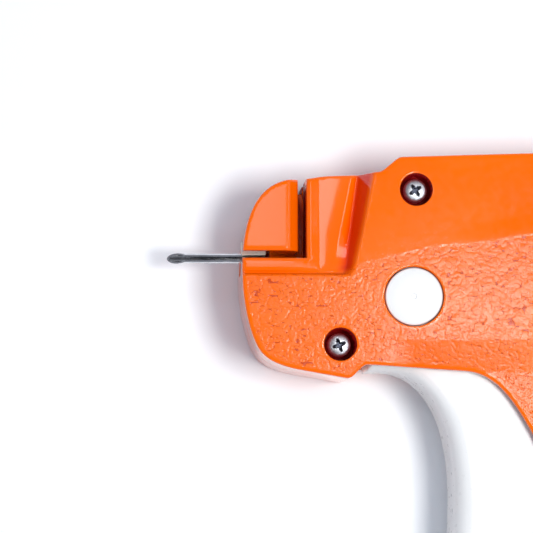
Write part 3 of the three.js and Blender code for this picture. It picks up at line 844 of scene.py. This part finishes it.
class Look:
    """A material with a few node shortcuts. Lengths for noise are in millimetres."""

    def __init__(self, name, color, roughness, metallic=0.0):
        self.mat = bpy.data.materials.new(name)
        self.mat.use_nodes = True
        self.tree = self.mat.node_tree
        self.shader = self.tree.nodes["Principled BSDF"]
        self.shader.inputs["Base Color"].default_value = (*color, 1)
        self.shader.inputs["Roughness"].default_value = roughness
        self.shader.inputs["Metallic"].default_value = metallic
        self.place = self.tree.nodes.new("ShaderNodeTexCoord").outputs["Object"]

    def noise(self, size, detail=3, stretch=(1, 1, 1), roughness=0.5):
        mapping = self.tree.nodes.new("ShaderNodeMapping")
        mapping.inputs["Scale"].default_value = [s / (size * MM) for s in stretch]
        self.tree.links.new(self.place, mapping.inputs["Vector"])
        node = self.tree.nodes.new("ShaderNodeTexNoise")
        node.inputs["Scale"].default_value = 1
        node.inputs["Detail"].default_value = detail
        node.inputs["Roughness"].default_value = roughness
        self.tree.links.new(mapping.outputs["Vector"], node.inputs["Vector"])
        return node.outputs["Fac"]

    def attribute(self, name):
        node = self.tree.nodes.new("ShaderNodeAttribute")
        node.attribute_name = name
        return node.outputs["Fac"]

    def remap(self, value, low, high, to_low, to_high):
        node = self.tree.nodes.new("ShaderNodeMapRange")
        for key, number in (("From Min", low), ("From Max", high),
                            ("To Min", to_low), ("To Max", to_high)):
            node.inputs[key].default_value = number
        self.tree.links.new(value, node.inputs["Value"])
        return node.outputs["Result"]

    def math(self, operation, a, b):
        node = self.tree.nodes.new("ShaderNodeMath")
        node.operation = operation
        for socket, value in zip(node.inputs, (a, b)):
            if isinstance(value, (int, float)):
                socket.default_value = value
            else:
                self.tree.links.new(value, socket)
        return node.outputs[0]

    def mix(self, factor, a, b):
        node = self.tree.nodes.new("ShaderNodeMix")
        node.data_type = "RGBA"
        self.tree.links.new(factor, node.inputs["Factor"])
        for socket, value in ((node.inputs[6], a), (node.inputs[7], b)):
            if isinstance(value, tuple):
                socket.default_value = (*value, 1)
            else:
                self.tree.links.new(value, socket)
        return node.outputs[2]

    def color(self, output):
        self.tree.links.new(output, self.shader.inputs["Base Color"])

    def roughness(self, output):
        self.tree.links.new(output, self.shader.inputs["Roughness"])

    def bump(self, height, distance_mm, strength=1.0):
        node = self.tree.nodes.new("ShaderNodeBump")
        node.inputs["Distance"].default_value = distance_mm * MM
        node.inputs["Strength"].default_value = strength
        self.tree.links.new(height, node.inputs["Height"])
        previous = self.shader.inputs["Normal"]
        if previous.is_linked:
            self.tree.links.new(previous.links[0].from_socket, node.inputs["Normal"])
        self.tree.links.new(node.outputs["Normal"], previous)


def orange_plastic():
    """Glossy panels, leather grain with painted shade in its fine veins, and deep red painted
    shade in the wells, the slit and on the scoop's wall.
    """
    look = Look("orange_plastic", (0.93, 0.14, 0.0), 0.25)
    cloud = look.noise(28, 2)
    body = look.mix(look.remap(cloud, 0.35, 0.65, 0, 1), (0.92, 0.128, 0.0), (0.94, 0.146, 0.0))
    grained = look.attribute("grained")
    # fine veins run where the noise crosses its middle value
    away = look.math("SUBTRACT", look.noise(0.8, 0, (0.58, 1.2, 1)), 0.5)
    away = look.math("ABSOLUTE", away, 0)
    vein = look.math("MULTIPLY", look.remap(away, 0.004, 0.024, 1, 0), grained)
    # painted shade darkens the veins and, slightly, the grain's creases
    dark = look.math("MAXIMUM", vein, look.math("MULTIPLY", look.attribute("crease"), 0.06))
    with_crease_shade = look.mix(look.math("MULTIPLY", dark, 0.9), body, (0.50, 0.040, 0.0))
    # painted shade on the steep wall behind the scoop
    wall_shaded = look.mix(look.math("MULTIPLY", look.attribute("scoop_wall"), 0.9), with_crease_shade,
                      (0.66, 0.012, 0.0))
    # painted shade in the screw wells and on the slit's walls
    well = look.attribute("well")
    look.color(look.mix(well, wall_shaded, (0.24, 0.003, 0.004)))
    rough = look.math("ADD", look.remap(grained, 0, 1, 0.10, 0.19), look.remap(well, 0, 1, 0, 0.4))
    rough = look.math("ADD", rough, look.remap(look.noise(1.1, 3), 0.3, 0.7, -0.02, 0.03))
    look.roughness(rough)
    look.bump(look.noise(0.5, 2), 0.003)
    look.bump(look.math("SUBTRACT", 0, vein), 0.014)
    look.shader.inputs["Specular IOR Level"].default_value = 0.30
    # only the smooth panels have the clear gloss on top
    look.tree.links.new(look.remap(look.math("MAXIMUM", grained, well), 0, 0.05, 0.6, 0),
                        look.shader.inputs["Coat Weight"])
    look.shader.inputs["Coat Roughness"].default_value = 0.06
    return look.mat


def white_plastic():
    """Plain glossy white with a faint unevenness."""
    look = Look("white_plastic", (0.88, 0.88, 0.87), 0.3)
    look.color(look.mix(look.remap(look.noise(20, 2), 0.35, 0.65, 0, 1),
                        (0.78, 0.765, 0.75), (0.79, 0.78, 0.765)))
    look.roughness(look.remap(look.noise(1.5, 3), 0.3, 0.7, 0.26, 0.36))
    look.bump(look.noise(1.5, 1), 0.003)
    return look.mat


def moulded(name, light, dark, roughness):
    """Matt moulded plastic with a faint flow pattern."""
    look = Look(name, light, roughness)
    look.color(look.mix(look.remap(look.noise(9, 3, (1, 2.5, 1)), 0.35, 0.65, 0, 1), light, dark))
    look.roughness(look.remap(look.noise(1.0, 3), 0.3, 0.7, roughness - 0.06, roughness + 0.08))
    look.bump(look.noise(0.25, 4), 0.012)
    return look.mat


def steel(name, tint, roughness, along=(0.08, 1, 1)):
    """Drawn steel: fine lines, along X unless told otherwise, and a little clouding."""
    look = Look(name, tint, roughness, 1.0)
    shade = tuple(c * 0.72 for c in tint)
    look.color(look.mix(look.remap(look.noise(2.5, 3), 0.35, 0.7, 0, 1), tint, shade))
    look.roughness(look.remap(look.noise(0.16, 2, along), 0.3, 0.7,
                              roughness - 0.07, roughness + 0.1))
    look.bump(look.noise(0.12, 2, along), 0.004)
    return look.mat


def zinc():
    """Plated screws, with painted shade in their cross recesses."""
    look = Look("zinc_screw", (0.80, 0.84, 0.90), 0.3, 1.0)
    plated = look.mix(look.remap(look.noise(0.9, 3), 0.4, 0.7, 0, 1),
                      (0.90, 0.93, 0.98), (0.62, 0.66, 0.75))
    # painted shade in the cross recess
    look.color(look.mix(look.attribute("recess"), plated, (0.10, 0.11, 0.15)))
    look.roughness(look.remap(look.noise(0.3, 3), 0.3, 0.7, 0.28, 0.46))
    look.bump(look.noise(0.25, 3), 0.012)
    return look.mat


def rubber():
    look = Look("black_rubber", (0.03, 0.03, 0.032), 0.8)
    look.color(look.mix(look.noise(3, 3), (0.022, 0.022, 0.024), (0.05, 0.05, 0.052)))
    look.roughness(look.remap(look.noise(0.6, 3), 0.3, 0.7, 0.68, 0.88))
    look.bump(look.noise(0.3, 4), 0.03)
    return look.mat


LOOKS = {
    "orange_plastic": orange_plastic(),
    "white_plastic": white_plastic(),
    "natural_plastic": moulded("natural_plastic", (0.80, 0.77, 0.68), (0.72, 0.69, 0.60), 0.42),
    "grey_plastic": moulded("grey_plastic", (0.20, 0.21, 0.23), (0.14, 0.15, 0.165), 0.5),
    "black_rubber": rubber(),
    "zinc_screw": zinc(),
    "needle_steel": steel("needle_steel", (0.80, 0.81, 0.83), 0.2),
    "steel": steel("steel", (0.62, 0.63, 0.65), 0.3, (1, 1, 1)),
}
# pieces take their slot's look, and CAD nodes that nothing replaces take theirs from the record
SLOT_OF = {part["node"]: part["material_slot"] for part in frame["record"]["subparts"]}
for obj in list(bpy.data.objects):
    if obj.type == "MESH":
        slot_name = obj.get("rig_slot") or SLOT_OF.get(obj.name)
        obj.data.materials.clear()
        obj.data.materials.append(LOOKS[slot_name])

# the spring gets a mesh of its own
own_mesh(spring)


# ---- Floor, light and camera -------------------------------------------------------------

bpy.ops.mesh.primitive_plane_add(size=4, location=(0, 0, -0.0003))
floor = bpy.context.object
floor.name = "floor"
paper = Look("paper", (0.93, 0.93, 0.95), 0.75)
paper.color(paper.mix(paper.noise(60, 2), (0.955, 0.96, 0.97), (0.965, 0.97, 0.975)))
floor.data.materials.append(paper.mat)

world = bpy.data.worlds.new("studio")
world.use_nodes = True
tree = world.node_tree
# bright walls all round, dark straight overhead
where = tree.nodes.new("ShaderNodeTexCoord")
split = tree.nodes.new("ShaderNodeSeparateXYZ")
tree.links.new(where.outputs["Generated"], split.inputs["Vector"])
ramp = tree.nodes.new("ShaderNodeMapRange")
for key, number in (("From Min", 0.76), ("From Max", 0.96), ("To Min", 0.32), ("To Max", 0.0)):
    ramp.inputs[key].default_value = number
tree.links.new(split.outputs["Z"], ramp.inputs["Value"])
tree.links.new(ramp.outputs["Result"], tree.nodes["Background"].inputs["Strength"])
tree.nodes["Background"].inputs["Color"].default_value = (0.84, 0.87, 1.0, 1)
bpy.context.scene.world = world
bpy.context.scene.view_settings.view_transform = "Standard"


def softbox(name, location, size, power, color=(1, 1, 1)):
    """Rectangular light that shines straight down."""
    lamp = bpy.data.lights.new(name, "AREA")
    lamp.shape = "RECTANGLE"
    lamp.size, lamp.size_y = size
    lamp.energy = power
    lamp.color = color
    obj = bpy.data.objects.new(name, lamp)
    obj.location = location
    bpy.context.scene.collection.objects.link(obj)
    return obj


# lamps for light and shadow, then cards that only show as reflections in the glossy plastic
for lamp in (softbox("key", (0.185, -0.060, 0.70), (0.17, 0.20), 3.8, (1.0, 0.99, 0.97)),
             softbox("fill", (-0.10, 0.05, 0.80), (0.9, 0.9), 3.5, (0.72, 0.85, 1.0))):
    lamp.visible_glossy = False
for card in (softbox("grain_card", (0.115, 0.024, 0.70), (0.10, 0.045), 0.62),
             softbox("screw_card", (0.210, -0.090, 0.70), (0.09, 0.09), 0.55),
             softbox("nose_card", (-0.026, 0.100, 0.70), (0.088, 0.08), 0.055),
             softbox("scoop_card", (0.555, 0.150, 0.70), (0.22, 0.30), 0.72)):
    card.visible_diffuse = False

lens = bpy.data.cameras.new("camera")
camera = bpy.data.objects.new("camera", lens)
bpy.context.scene.collection.objects.link(camera)
bpy.context.scene.camera = camera
eye = Vector((-0.055, -0.037, 0.546))
aim = Vector((-0.02959, 0.00586, WIDTH * MM))
back = (eye - aim).normalized()
across = Vector((0, 1, 0)).cross(back).normalized()
# turned so that the gun's length lies across the picture, nose to the left
camera.matrix_world = Matrix((across, back.cross(across), back)).transposed().to_4x4()
camera.location = eye
lens.sensor_width = 36
lens.lens = 176.9
lens.clip_start = 0.01
